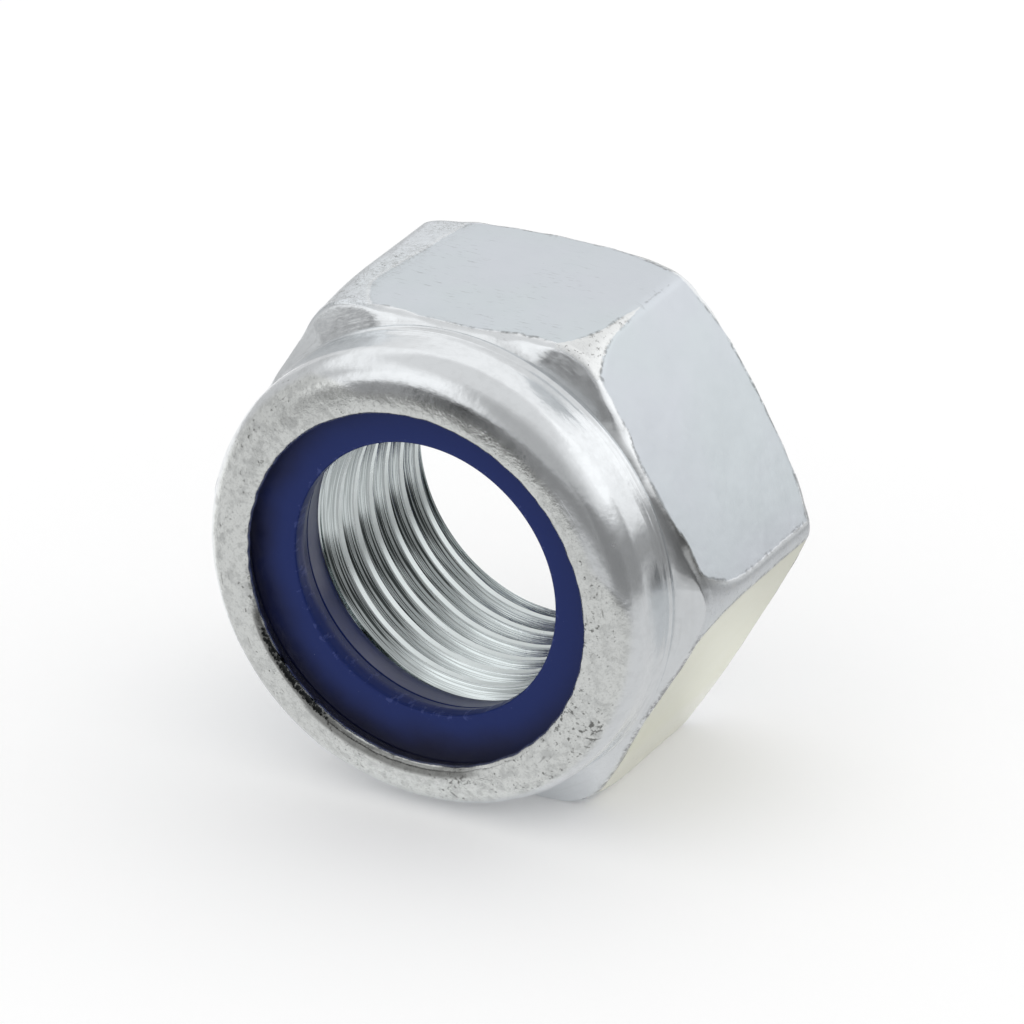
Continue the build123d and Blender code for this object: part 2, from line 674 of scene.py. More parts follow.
class ZincSkin:
    """The patterns of the zinc plate, shared by its colour, roughness and relief."""

    def __init__(self, plate: ZincPlate, bench: NodeBench) -> None:
        """Lay out the patterns.

        Args:
            plate: Colours, roughness and places.
            bench: Bench of the material.
        """
        self.plate, self.bench = plate, bench
        self.place = bench.place()
        self.axes = bench.parts(self.place)
        self.radius = bench.radius(self.axes)
        self.lip, self.thread = bench.mask(Mask.LIP), bench.mask(Mask.THREAD)
        self.collar, self.worn = bench.mask(Mask.COLLAR), bench.mask(Mask.WORN)
        self.rough, self.straw_tint_and_reflection = bench.mask(Mask.ROUGH), bench.mask(Mask.STRAW_TINT_AND_REFLECTION)
        self.lip_edge_dark = bench.mask(Mask.LIP_EDGE_DARK)
        self.hexagon = bench.rest_of(bench.most(self.collar, self.thread))
        self.grain = bench.mottle(self.place, 7.0, detail=3.0, rough=0.65, seed=4.0)
        self.blotch = bench.mottle(self.place, 1.9, detail=4.0, rough=0.66, seed=1.0)
        self.patch = bench.mottle(self.place, 0.55, detail=3.0, rough=0.6, seed=8.0)
        self.specks = bench.mottle(self.place, 4.6, detail=3.0, rough=0.62, seed=2.0)
        self.lines = bench.mottle(self.wound(1.0, 13.0, 0.4), 1.0, rough=0.6, seed=5.0)
        self.hoops = bench.mottle(self.wound(1.0, 0.0, 13.0), 1.0, rough=0.6, seed=15.0)
        wander = bench.centred(bench.mottle(self.place, 2.8, detail=4.0, rough=0.6, seed=21.0))
        self.edge = bench.plus(bench.mask(Mask.INSET), bench.times(wander, 0.26))
        self.flat = bench.band(self.edge, -0.05, 0.05)
        self.lower = bench.band(bench.math("DIVIDE", self.axes[2], self.radius), 0.5, -0.15)
        self.dull_side = self.sector(plate.dull_side)
        self.scarred = self.sector(plate.scarred)
        self.thread_dark = self.sector(plate.thread_dark)
        self.streaks = self.rolling_marks()

    def near(self, value: Feed, centre: float, outer: float, inner: float,
             top: float = 1.0) -> bpy.types.NodeSocket:
        """Give a share that is highest where a value is near a centre.

        Args:
            value: The value.
            centre: Where the share is highest.
            outer: How far from the centre the share ends.
            inner: How far from the centre it is whole.
            top: The highest share.

        Returns:
            The share.
        """
        away = self.bench.math("ABSOLUTE", self.bench.math("SUBTRACT", value, centre))
        return self.bench.band(away, outer, inner, top)

    def sector(self, where: Sector) -> bpy.types.NodeSocket:
        """Give the share of a sector round the axis.

        Args:
            where: The sector.

        Returns:
            The share.
        """
        bench, middle = self.bench, math.radians(where.middle_deg)
        along = bench.plus(bench.times(self.axes[0], math.cos(middle)),
                           bench.times(self.axes[2], math.sin(middle)))
        return bench.band(bench.math("DIVIDE", along, self.radius),
                          math.cos(math.radians(where.outer_deg)), math.cos(math.radians(where.inner_deg)))

    def wound(self, along: float, outward: float, by_y: float) -> bpy.types.NodeSocket:
        """Give a place for a pattern that is drawn out round the axis.

        Args:
            along: Fineness round the axis.
            outward: Fineness for each millimetre away from the axis.
            by_y: Fineness for each millimetre along Y.

        Returns:
            The place for the pattern.
        """
        bench = self.bench
        cosine, sine = (bench.math("DIVIDE", self.axes[part], self.radius) for part in (0, 2))
        across = bench.plus(bench.times(self.radius, outward), bench.times(self.axes[1], by_y))
        return bench.vector(bench.times(cosine, along), across, bench.times(sine, along))

    def rolling_marks(self) -> bpy.types.NodeSocket:
        """Give the few short rolling marks of the uppermost flat.

        Returns:
            A share that is 1 in a mark.
        """
        bench, turn = self.bench, -math.radians(self.plate.streak_turn_deg)
        feeds = {"Vector": self.place, "Scale": (1.3, 7.0, 1.3), "Rotation": (0.0, 0.0, turn)}
        drawn_out = bench.node("ShaderNodeMapping", feeds).outputs[0]
        mark = bench.band(bench.mottle(drawn_out, 1.2, detail=3.0, rough=0.6, seed=6.0), 0.58, 0.72)
        group = bench.band(bench.mottle(self.place, 0.3, seed=7.0), 0.38, 0.6)
        return bench.times(mark, group, bench.band(self.axes[2], *self.plate.top_flat_z))

    def chips(self) -> bpy.types.NodeSocket:
        """Give small dark chips, drawn out round the axis and lying in groups.

        Returns:
            A share that is 1 in a chip.
        """
        bench = self.bench
        chip = bench.mottle(self.wound(8.0, 4.4, 0.0), 1.0, detail=4.0, rough=0.7, seed=23.0)
        group = bench.mottle(self.place, 0.42, seed=24.0)
        where = bench.most(self.lip, self.rough, bench.times(self.collar, self.dull_side))
        return bench.times(bench.band(chip, 0.6, 0.66), bench.band(group, 0.5, 0.62), where)

    def film(self) -> bpy.types.NodeSocket:
        """Mix the colour of the clean metal: the flats' film, the straw flat with its painted warm
        reflection, the collar, the lip, rubbed edges.

        Returns:
            The colour.
        """
        bench, plate = self.bench, self.plate
        cloud = bench.band(bench.mottle(self.place, 0.22, seed=11.0), 0.3, 0.7)
        filmed = bench.most(self.flat, bench.times(self.rough, 0.6))
        tone = bench.tint(filmed, plate.collar, bench.tint(cloud, plate.flat, plate.flat_cloud))
        # Straw flat: a straw film tint that also stands in for a warm painted reflection, paler towards its
        # lower end.
        straw_tint_and_reflection = bench.tint(bench.band(self.axes[2], *plate.straw_fade_z), plate.straw_tint_and_reflection, plate.straw_pale)
        tone = bench.tint(bench.times(self.straw_tint_and_reflection, self.flat), tone, straw_tint_and_reflection)
        tone = bench.tint(self.lip, tone, plate.lip)
        tone = bench.tint(self.thread, tone, plate.thread)
        rim = self.near(self.edge, -0.08, 0.14, 0.05, top=0.25)
        rubbed = bench.band(bench.plus(self.worn, bench.centred(self.blotch)), 0.3, 0.6)
        return bench.tint(bench.times(bench.most(rim, rubbed), self.hexagon), tone, plate.worn)

    def wear(self, tone: bpy.types.NodeSocket) -> bpy.types.NodeSocket:
        """Add soft dull patches, wrinkles and turning lines to the clean metal.

        Args:
            tone: Colour so far.

        Returns:
            The colour with its wear.
        """
        bench, plate = self.bench, self.plate
        on_lip = bench.plus(bench.blend(self.lower, 0.1, 0.22), bench.times(self.scarred, 0.08),
                            bench.times(self.dull_side, 0.1))
        on_collar = bench.blend(self.dull_side, 0.08, 0.18)
        weight = bench.plus(bench.times(self.lip, on_lip), bench.times(self.collar, on_collar),
                            bench.times(self.rough, 0.12))
        tone = bench.tint(bench.times(bench.band(self.blotch, 0.44, 0.64), weight), tone, plate.dull)

        pleats = self.near(bench.mottle(self.place, 3.0, detail=3.0, rough=0.6, seed=16.0), 0.5, 0.035, 0.008)
        pleated = bench.most(self.rough, bench.times(self.lip, bench.blend(self.lower, 0.2, 0.35)))
        wrinkle = bench.times(pleats, bench.band(self.patch, 0.42, 0.56), pleated, 0.5)
        tone = bench.tint(wrinkle, tone, plate.dull)

        strength = bench.blend(self.sector(plate.hooped), 0.15, 0.4)
        foot = self.near(self.axes[1], plate.hoops_y, 0.9, 0.3)
        lines = bench.times(bench.band(self.hoops, 0.5, 0.6), foot, bench.band(self.patch, 0.36, 0.56),
                            strength)
        return bench.tint(lines, tone, plate.dull)

    def specked(self, tone: bpy.types.NodeSocket) -> bpy.types.NodeSocket:
        """Add specks of grime, which lie thickest on rough ground, chips and rolling marks.

        Args:
            tone: Colour so far.

        Returns:
            The colour with its specks.
        """
        bench, plate = self.bench, self.plate
        cluster = bench.band(self.patch, 0.42, 0.62)
        load = bench.plus(
            bench.times(self.lip, bench.blend(cluster, 0.02, 0.115)),
            bench.times(self.lip, self.scarred, 0.06),
            bench.times(self.lip, self.sector(plate.flecked), 0.05),
            bench.times(self.straw_tint_and_reflection, bench.band(self.axes[2], *plate.straw_speck_z), 0.09),
            bench.times(self.rough, bench.blend(cluster, 0.0, 0.1)),
            bench.times(self.worn, 0.13),
        )
        reach = bench.most(
            self.lip,
            self.rough,
            bench.times(self.flat, 0.3),
            bench.times(self.collar, self.dull_side, 0.7),
            bench.times(self.worn, 0.8),
        )
        speck = bench.times(bench.band(bench.plus(self.specks, load), 0.7, 0.8), reach)
        for share, strength in ((speck, 0.75), (self.chips(), 0.5), (self.streaks, 0.28)):
            tone = bench.tint(bench.times(share, strength), tone, plate.grime)
        return tone

    def seamed(self, tone: bpy.types.NodeSocket) -> bpy.types.NodeSocket:
        """Add the broken lines of dirt along the edges of the flats, and the dirt and painted dark reflection
        along one flat's front edge.

        Args:
            tone: Colour so far.

        Returns:
            The colour with its seams.
        """
        bench, plate = self.bench, self.plate
        seam = bench.times(self.near(self.edge, 0.03, 0.16, 0.03), bench.band(self.patch, 0.43, 0.56),
                           bench.band(self.specks, 0.36, 0.56), self.hexagon,
                           bench.rest_of(bench.times(self.rough, 0.85)))
        by_straw = bench.times(self.near(self.edge, -0.06, 0.26, 0.05), self.straw_tint_and_reflection,
                               bench.band(self.blotch, 0.4, 0.54), bench.band(self.grain, 0.3, 0.55))
        tone = bench.tint(bench.times(bench.most(seam, by_straw), 0.55), tone, plate.grime)
        # Dirt together with a painted dark reflection along the front edge of the right flat.
        by_side_dirt_and_reflection = bench.times(self.near(self.edge, -0.28, 0.5, 0.28), self.sector(plate.side_seam_dirt_and_reflection),
                              self.hexagon, bench.band(self.axes[1], *plate.side_seam_dirt_and_reflection_y),
                              bench.band(self.specks, 0.1, 0.36))
        return bench.tint(bench.times(by_side_dirt_and_reflection, 0.75), tone, plate.grime)

    def threaded(self, tone: bpy.types.NodeSocket) -> bpy.types.NodeSocket:
        """Add the thread's grey crests, the fine grime lines in its grooves, and a painted dark reflection in
        the grooves and on the flanks on one side of the bore.

        Args:
            tone: Colour so far.

        Returns:
            The colour with the thread's own marks.
        """
        bench, plate = self.bench, self.plate
        crest = bench.times(self.thread, bench.band(self.radius, *plate.crest_radii))
        tone = bench.tint(bench.times(crest, 0.9), tone, plate.crest)
        # Grooves: fine grime lines all round, darkened much more in the thread_dark sector as painted dark
        # reflection.
        groove = bench.times(bench.band(self.lines, 0.53, 0.47), self.thread, bench.rest_of(crest),
                             bench.blend(self.thread_dark, 0.36, 0.92))
        tone = bench.tint(groove, tone, plate.thread_grime_and_dark_reflection)
        # Flanks: painted dark reflection in the thread_dark sector.
        flank = bench.times(self.thread_dark, self.thread, bench.band(self.radius, *plate.flank_radii), 0.22)
        return bench.tint(flank, tone, plate.thread_grime_and_dark_reflection)

    def darkened_lip_edge(self, tone: bpy.types.NodeSocket) -> bpy.types.NodeSocket:
        """Darken the lip's inner edge: a grey band further out and a ragged near-black band at the edge.

        Args:
            tone: Colour so far.

        Returns:
            The colour with that dirt.
        """
        bench, plate = self.bench, self.plate
        # A grey band, and a ragged near-black band next to the hole, along the lip's inner edge.
        ragged = bench.centred(bench.mottle(self.place, 6.0, detail=4.0, rough=0.7, seed=18.0))
        black_core = bench.band(bench.plus(self.lip_edge_dark, bench.times(ragged, 2.4)), 0.72, 0.95)
        tone = bench.tint(bench.band(self.lip_edge_dark, 0.0, 0.5, 0.7), tone, plate.grime)
        return bench.tint(bench.times(black_core, bench.band(self.lip_edge_dark, 0.05, 0.2), 0.95), tone, plate.lip_edge_black)

    def dotted(self, tone: bpy.types.NodeSocket) -> bpy.types.NodeSocket:
        """Add fine dots on rough ground and pale scuffs on the flats.

        Args:
            tone: Colour so far.

        Returns:
            The colour with its dots and scuffs.
        """
        bench, plate = self.bench, self.plate
        where = bench.most(self.lip, self.rough, bench.times(self.worn, 0.7))
        tone = bench.tint(bench.times(bench.band(self.grain, 0.5, 0.7), where, 0.22), tone, plate.grime)
        scuff = bench.times(bench.band(self.grain, 0.64, 0.72), bench.band(self.patch, 0.5, 0.62), self.flat,
                            0.5)
        return bench.tint(scuff, tone, plate.worn)

    def tone(self) -> bpy.types.NodeSocket:
        """Mix the whole colour.

        Returns:
            The colour.
        """
        tone = self.film()
        for add in (self.wear, self.specked, self.seamed, self.threaded, self.darkened_lip_edge, self.dotted):
            tone = add(tone)
        return tone

    def roughness(self) -> bpy.types.NodeSocket:
        """Mix the roughness of the flats, collar, lip and thread.

        Returns:
            The roughness.
        """
        bench, plate = self.bench, self.plate
        value = bench.blend(self.flat, plate.gloss_collar, plate.gloss_flat)
        value = bench.plus(value, bench.times(self.collar, self.sector(plate.satin), 0.045))
        value = bench.blend(bench.band(self.worn, 0.05, 0.25), value, plate.gloss_worn)
        value = bench.blend(self.lip, value, plate.gloss_lip)
        on_crest = bench.band(self.radius, *plate.crest_gloss_radii)
        value = bench.blend(self.thread, value, bench.blend(on_crest, plate.gloss_thread, plate.gloss_crest))
        cloud = bench.centred(bench.mottle(self.place, 0.7, detail=3.0, rough=0.6, seed=3.0))
        return bench.plus(value, bench.times(cloud, 0.14), bench.times(bench.centred(self.blotch), 0.14))

    def relief(self) -> bpy.types.NodeSocket:
        """Add up the fine relief, in millimetres, and tilt the surface by it.

        Returns:
            The tilt.
        """
        bench, plate = self.bench, self.plate
        plain = bench.rest_of(self.thread)
        combed = bench.mottle(self.wound(9.0, 4.5, 4.5), 1.0, detail=3.0, rough=0.6, seed=12.0)
        lumps = bench.mottle(self.place, 2.6, detail=3.0, rough=0.6, seed=9.0)
        swell = bench.mottle(self.place, 0.5, seed=10.0)
        waves = bench.mottle(self.place, 1.1, seed=17.0)
        lumpy = bench.most(self.lip, bench.times(self.rough, 0.55))
        forged = bench.plus(
            bench.times(lumps, bench.blend(lumpy, 0.007, 0.024)),
            bench.times(self.grain, bench.blend(self.lip, 0.0008, 0.004)),
            bench.times(waves, bench.blend(self.flat, 0.02, 0.006)),
            bench.times(swell, 0.03),
        )
        return bench.tilt(bench.plus(
            bench.times(forged, plain),
            bench.times(self.lines, bench.blend(self.thread, 0.0012, 0.02)),
            bench.times(self.hoops, self.near(self.axes[1], plate.hoops_y, 1.0, 0.3), 0.0035),
            bench.times(combed, plain, 0.0035),
            bench.times(self.streaks, -0.003),
        ))


@dataclass(frozen=True)
class BlueNylon:
    """Deep blue moulded nylon with a satin skin.

    Attributes:
        blue: Colour of the nylon near the hole, where no painted shade lies, so that it looks lit by light
            that gets in.
        shade: Colour of the painted shade in the corner under the lip and towards the lower left.
        nick: Colour of the nicks round the hole.
        dust: Colour of specks of dust.
        hole_radius: Radius of the ring's hole.
        shade_radius: Distance from the axis at which the painted shade is full.
        land_radii: Distances from the axis between which the hole's straight wall sets in.
        land_y: Places along the axis between which that wall sets in.
        flare_y: Places along the axis between which the flared rear part of the hole sets in.
    """

    blue: Colour = (0.0085, 0.0205, 0.116, 1.0)
    shade: Colour = (0.004, 0.005, 0.025, 1.0)
    nick: Colour = (0.05, 0.07, 0.22, 1.0)
    dust: Colour = (0.2, 0.24, 0.4, 1.0)
    hole_radius: float = 7.0
    shade_radius: float = 9.3
    land_radii: Span = (7.6, 7.4)
    land_y: Span = (-14.95, -14.8)
    flare_y: Span = (-13.4, -13.1)

    def material(self) -> bpy.types.Material:
        """Make the material.

        Returns:
            The blue nylon.
        """
        made, bench, shader = new_material("blue_nylon")
        skin = NylonSkin(self, bench)
        bench.connect(shader, {"Base Color": skin.tone(), "Roughness": skin.roughness(),
                               "Specular IOR Level": skin.gloss(), "Normal": skin.relief()})
        return made


class NylonSkin:
    """The patterns of the nylon, shared by its colour, gloss and relief."""

    def __init__(self, nylon: BlueNylon, bench: NodeBench) -> None:
        """Lay out the patterns.

        Args:
            nylon: Colours and places.
            bench: Bench of the material.
        """
        self.nylon, self.bench = nylon, bench
        self.place = bench.place()
        self.axes = bench.parts(self.place)
        self.radius = bench.radius(self.axes)
        self.cloud = bench.mottle(self.place, 0.35, seed=1.0)
        feeds = {"Vector": self.place, "Scale": (1.0, 0.3, 1.0)}
        flattened = bench.node("ShaderNodeMapping", feeds).outputs[0]
        by_hole = bench.band(self.radius, nylon.hole_radius + 0.7, nylon.hole_radius)
        self.nicks = bench.plus(bench.mottle(flattened, 2.6, detail=3.0, rough=0.7, seed=5.0),
                                bench.times(by_hole, 0.24))

    def tone(self) -> bpy.types.NodeSocket:
        """Mix the colour: blue near the hole, painted shade under the lip and towards the lower left, nicks
        and dust.

        Returns:
            The colour.
        """
        bench, nylon = self.bench, self.nylon
        # Painted shade: darker away from the hole and towards the lower left, where the lip overhangs the
        # nylon.
        depth = bench.plus(self.radius, bench.times(bench.centred(self.cloud), 1.6))
        side = bench.math("DIVIDE", bench.plus(self.axes[0], self.axes[2]), self.radius)
        shaded = bench.times(bench.band(depth, nylon.hole_radius + 0.3, nylon.shade_radius),
                             bench.band(side, 1.1, -0.9))
        tone = bench.tint(shaded, nylon.blue, nylon.shade)
        tone = bench.tint(bench.band(self.nicks, 0.78, 0.86, 0.55), tone, nylon.nick)
        dust = bench.band(bench.mottle(self.place, 5.0, seed=2.0), 0.72, 0.78, 0.6)
        return bench.tint(dust, tone, nylon.dust)

    def roughness(self) -> bpy.types.NodeSocket:
        """Mix the roughness, which changes softly in patches."""
        return self.bench.blend(self.cloud, 0.26, 0.4)

    def gloss(self) -> bpy.types.NodeSocket:
        """Mix how strongly the skin reflects, on the front, in the hole and where it flares.

        Returns:
            The strength of the reflection.
        """
        bench, nylon = self.bench, self.nylon
        up = bench.math("DIVIDE", self.axes[2], self.radius)
        flared = bench.blend(bench.band(up, -0.25, -0.5), 0.95, 0.2)
        flared = bench.blend(bench.band(up, -0.68, -0.88), flared, 0.46)
        in_land = bench.times(bench.band(self.radius, *nylon.land_radii),
                              bench.band(self.axes[1], *nylon.land_y))
        front = bench.blend(in_land, 0.22, bench.blend(bench.band(up, -0.2, -0.55), 0.3, 0.07))
        return bench.blend(bench.band(self.axes[1], *nylon.flare_y), front, flared)

    def relief(self) -> bpy.types.NodeSocket:
        """Add up the fine relief, in millimetres, and tilt the surface by it.

        Returns:
            The tilt.
        """
        bench = self.bench
        lumps = bench.mottle(self.place, 1.2, seed=3.0)
        return bench.tilt(bench.plus(bench.times(lumps, 0.02), bench.band(self.nicks, 0.74, 0.9, 0.012)))


# ---------------------------------------------------------------- the nut


@dataclass(frozen=True)
class Survey:
    """Where each point of the pressed body lies, before its lip is pushed aside.

    Attributes:
        angle: Angles round the axis.
        y: Places along the axis.
        radius: Distances from the axis.
        turned: Distances from the axis on the turned blank.
        side: Distances of the hexagon's side.
        blend: Widths of the rounding between blank and side.
    """

    angle: np.ndarray
    y: np.ndarray
    radius: np.ndarray
    turned: np.ndarray
    side: np.ndarray
    blend: np.ndarray


@dataclass
class NutBody:
    """Steel body: a forged hexagon with a turned collar, a rolled lip and a threaded bore.

    Attributes:
        across_flats: Width of the hexagon.
        height: Whole height, from the bearing face to the lip.
        corner_round_rear: Rounding of the hexagon's corners near the bearing face.
        corner_round_front: Rounding of those corners near the collar.
        front_y: Places along the axis between which the front's own shapes set in.
        edge_blend: Width of the rounded edge between the flats and the bearing side's chamfer.
        front_blend: Width of the rounded edge between the flats and the shoulder.
        corner_blend: Width of that edge at a corner.
        edge_ripple: Unevenness of those widths, as a share of them.
        flat_ripple: Unevenness of the flats.
        bearing_radius: Outer radius of the bearing face.
        bearing_round: Rounding of its edge.
        bearing_slope: Slope of the bearing side's chamfer.
        rubbed_radius: Radius past which that chamfer is rubbed steeper.
        rubbed_slope: Slope of the rubbed part.
        shoulder_slope: Slope of the shoulder beside the collar.
        middle_slope: Its slope beside the middle of a flat.
        facet_turn: Angle by which the shoulder's facets are turned against the hexagon.
        facet_y: Places along the axis between which the facets set in.
        rim_slope: Slope that is added at the shoulder's rounded rim.
        rim_width: How far inside the hexagon's side the rim starts to bend.
        rim_round: How far past that side the rim runs on.
        foot_y: Place of the collar's foot along the axis.
        foot_radius: Radius of the collar's foot.
        bead_height: Height of the turned bead at the foot.
        collar_radius: Radius of the collar.
        collar_round: Rounding of its outer corner.
        collar_swell: How far the collar bulges on one side.
        collar_swell_deg: Middle of the bulge.
        collar_swell_width_deg: Spread of the bulge.
        collar_ripple: Unevenness of the collar.
        lip_turn_deg: Slope at which the domed lip meets the outer corner.
        lip_hole_radius: Radius of the lip's hole.
        lip_edge_round: Rounding of the hole's edge.
        lip_hole_ripple: Unevenness of that edge.
        lip_hole_shift: How far the hole is pushed aside, along X and Z.
        lip_wall_end: Inner end of the hole's wall, as distance from the axis and place along it.
        seat_radius: Radius of the ring's seat.
        seat_floor_y: Place of the seat's floor along the axis.
        entry_radius: Radius at which the thread's entry starts.
        entry_depth: Depth of that entry.
        bore_radius: Minor radius of the thread.
        thread_major_radius: Major radius of the thread.
        thread_pitch: Distance from one turn of the thread to the next.
        thread_flank_deg: Slope of the thread's flanks.
        thread_root_flat: Width of the flat at the root of the thread.
        thread_crest_y: Place of one crest along the axis.
        thread_crest_angle_deg: Angle round the axis at which that crest lies there.
        thread_steps: Segments of one turn of the thread.
        countersink_radius: Radius of the countersink.
        countersink_depth: Depth of the countersink.
        blank_radius: Radius of the turned blank, from which the hexagon is pressed.
        steps: Segments of the body round the axis.
        corner_crowding: How much those segments crowd towards the corners.
        worn_corner: Corner that is rubbed bright.
        rough_corner: Corner that is left rough.
        low_corner: Corner whose rounded edge is narrow.
        straw_flat: Flat on which the film is straw, with a painted warm reflection.
        lip_edge_black_sector: Where the near-black band along the lip's inner edge is full.
        lip_edge_grey_sector: Where a grey band runs on along that edge beside it, further out.
        bright_lip: Where the dull lip is narrow and the collar's polish reaches in.
        finish: Finish of the body.
    """

    across_flats: float = 24.0
    height: float = 16.0
    corner_round_rear: float = 0.8
    corner_round_front: float = 3.0
    front_y: Span = (-6.0, -9.0)
    edge_blend: float = 0.35
    front_blend: float = 0.35
    corner_blend: float = 0.32
    edge_ripple: Ripple = Ripple(0.3, 1.6, 11)
    flat_ripple: Ripple = Ripple(0.012, 5.0, 12)
    bearing_radius: float = 10.6
    bearing_round: float = 0.1
    bearing_slope: float = math.tan(math.radians(24.5))
    rubbed_radius: float = 12.9
    rubbed_slope: float = math.tan(math.radians(42.0))
    shoulder_slope: float = math.tan(math.radians(13.0))
    middle_slope: float = math.tan(math.radians(32.0))
    facet_turn: float = math.radians(-1.5)
    facet_y: Span = (-6.0, -11.0)
    rim_slope: float = 0.7
    rim_width: float = 0.15
    rim_round: float = 0.3
    foot_y: float = -12.1
    foot_radius: float = 11.8
    bead_height: float = 0.045
    collar_radius: float = 11.65
    collar_round: float = 1.5
    collar_swell: float = 0.14
    collar_swell_deg: float = 222.0
    collar_swell_width_deg: float = 38.0
    collar_ripple: Ripple = Ripple(0.012, 3.5, 13)
    lip_turn_deg: float = 22.0
    lip_hole_radius: float = 9.0
    lip_edge_round: float = 0.34
    lip_hole_ripple: Ripple = Ripple(0.02, 0.9, 14)
    lip_hole_shift: Point = (-0.08, -0.24)
    lip_wall_end: Point = (9.38, -15.05)
    seat_radius: float = 10.32
    seat_floor_y: float = -11.35
    entry_radius: float = 8.0
    entry_depth: float = 0.6
    bore_radius: float = 7.3
    thread_major_radius: float = 8.0
    thread_pitch: float = 1.5
    thread_flank_deg: float = 30.0
    thread_root_flat: float = 0.35
    thread_crest_y: float = -7.28
    thread_crest_angle_deg: float = 220.0
    thread_steps: int = 180
    countersink_radius: float = 9.0
    countersink_depth: float = 2.0
    blank_radius: float = 14.6
    steps: int = 480
    corner_crowding: float = 0.6
    worn_corner: Sector = Sector(60.0, 14.0, 8.0)
    rough_corner: Sector = Sector(116.0, 12.0, 8.0)
    low_corner: Sector = Sector(-58.0, 14.0, 9.0)
    straw_flat: Sector = Sector(-30.5, 30.6, 29.6)
    lip_edge_black_sector: Sector = Sector(221.0, 28.0, 12.0)
    lip_edge_grey_sector: Sector = Sector(260.0, 38.0, 22.0)
    bright_lip: Sector = Sector(62.0, 60.0, 42.0)
    finish: ZincPlate = field(default_factory=ZincPlate)

    @property
    def lip_face_radius(self) -> float:
        """Radius of the domed lip face, which takes up what the outer corner leaves.

        Returns:
            The radius.
        """
        turn = math.radians(self.lip_turn_deg)
        run = self.collar_radius - self.collar_round - self.lip_hole_radius - self.lip_edge_round
        return run / math.sin(turn) + self.collar_round

    def shoulder_y(self, radius: np.ndarray) -> np.ndarray:
        """Give where the shallow, turned shoulder lies, before its edges are dressed.

        Args:
            radius: Distances from the axis.

        Returns:
            The places along the axis.
        """
        return self.foot_y + (radius - self.foot_radius) * self.shoulder_slope

    def shoulder_drop(self, turned: np.ndarray, side: np.ndarray, angle: np.ndarray) -> np.ndarray:
        """Give how far the shoulder falls back: beside the flats' middles and at its rounded rim.

        Args:
            turned: Distances from the axis on the turned blank.
            side: Distances of the hexagon's side.
            angle: Angles round the axis, 0 at a corner.

        Returns:
            What is added to the places along the axis.
        """
        turn = np.cos(6.0 * (angle - self.facet_turn))
        beside = (self.middle_slope - self.shoulder_slope) * (1.0 - smooth_step(turn, -0.2, 0.75))
        run = np.clip(turned - self.foot_radius, 0.0, side + self.rim_round - self.foot_radius)
        past = np.clip(turned - side, -self.rim_width, self.rim_round)
        bend = (past + self.rim_width) ** 2 / (2.0 * self.rim_width)
        rim = np.where(past < 0.0, bend, self.rim_width / 2.0 + past)
        return beside * run + self.rim_slope * smooth_step(turn, -0.9, 0.6) * rim

    def chamfer_y(self, radius: np.ndarray) -> np.ndarray:
        """Give where the turned chamfer of the bearing side lies.

        Args:
            radius: Distances from the axis.

        Returns:
            The places along the axis.
        """
        rubbed = np.maximum(radius - self.rubbed_radius, 0.0)
        shallow = (self.bearing_radius - radius) * self.bearing_slope
        return shallow - (self.rubbed_slope - self.bearing_slope) * rubbed

    def outside(self) -> list[Point]:
        """Give the outline of the outside, from the bearing face to the collar's foot.

        Returns:
            The points.
        """
        widest, edge = self.blank_radius, self.bearing_round
        chamfer = np.append(np.linspace(self.bearing_radius, self.rubbed_radius, 11),
                            np.linspace(self.rubbed_radius, widest, 13)[1:])
        shoulder = np.linspace(widest, self.foot_radius, 31)
        return join_outline([
            arc((self.bearing_radius - edge, -edge), edge, 90.0, 66.0, 3),
            [(self.bearing_radius, -0.3 * edge)],
            list(zip(chamfer[1:], self.chamfer_y(chamfer[1:]))),
            stretch((widest, float(self.chamfer_y(widest))), (widest, float(self.shoulder_y(widest))), 24),
            list(zip(shoulder, self.shoulder_y(shoulder))),
        ])

    def foot_bead(self) -> list[Point]:
        """Give the low bead and groove, left by the turning tool, at the foot of the collar.

        Returns:
            The points.
        """
        drop = np.linspace(0.0, 1.0, 21)
        slope = self.foot_radius + (self.collar_radius - self.foot_radius) * smooth_step(drop, 0.0, 1.0)
        bead = self.bead_height * (hump(drop, 0.2, 0.1) - 0.3 * hump(drop, 0.42, 0.09))
        return [(r, self.foot_y - d) for r, d in zip(slope + bead, drop)]

    def lip_outline(self) -> list[Point]:
        """Give the outline of the collar's outer corner, the domed lip and the wall of its hole.

        Returns:
            The points.
        """
        top, dome, turn, bend = -self.height, self.lip_face_radius, self.lip_turn_deg, self.lip_edge_round
        dome_centre = (self.lip_hole_radius + bend, top + dome)
        corner = (self.collar_radius - self.collar_round,
                  dome_centre[1] - (dome - self.collar_round) * math.cos(math.radians(turn)))
        return join_outline([
            stretch((self.collar_radius, self.foot_y - 1.0), (self.collar_radius, corner[1]), 8),
            arc(corner, self.collar_round, 0.0, turn - 90.0, 14),
            arc(dome_centre, dome, turn - 90.0, -90.0, 12),
            arc((self.lip_hole_radius + bend, top + bend), bend, -90.0, -180.0, 8),
            stretch((self.lip_hole_radius, top + bend), self.lip_wall_end, 4),
        ])

